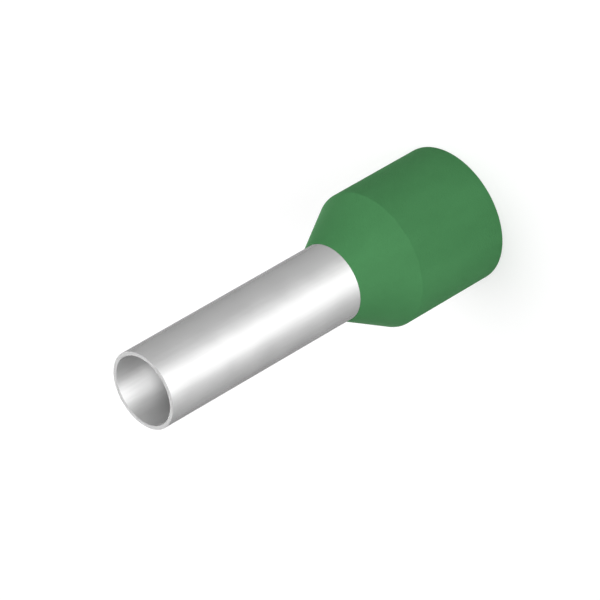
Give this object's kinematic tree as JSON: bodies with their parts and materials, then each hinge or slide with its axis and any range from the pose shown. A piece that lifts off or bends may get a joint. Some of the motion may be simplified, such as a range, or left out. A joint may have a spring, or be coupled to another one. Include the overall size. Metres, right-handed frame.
{
  "type": "wire ferrule",
  "caption": "Insulated wire-end ferrule: a thin tin-plated copper sleeve, open at its tip and flared at its rear inside a green plastic collar that closes on it in a cone.",
  "frame": {"origin": "centre of the collar's open mouth, in the plane of its flat rim, on which the ferrule stands", "axes": "+Z runs along the ferrule's axis from the collar's mouth to the sleeve's tip; the ferrule is round, so +X and +Y are any two directions across it"},
  "size_m": [0.0068, 0.0068, 0.02],
  "materials": {
    "tinned_copper": "smooth bright tin plating on copper, with a satin sheen",
    "green_plastic": "moulded polypropylene in mid green, smooth with a low sheen"
  },
  "bodies": {
    "root": {"metal_sleeve": "tinned_copper", "insulating_collar": "green_plastic"}
  },
  "joints": []
}
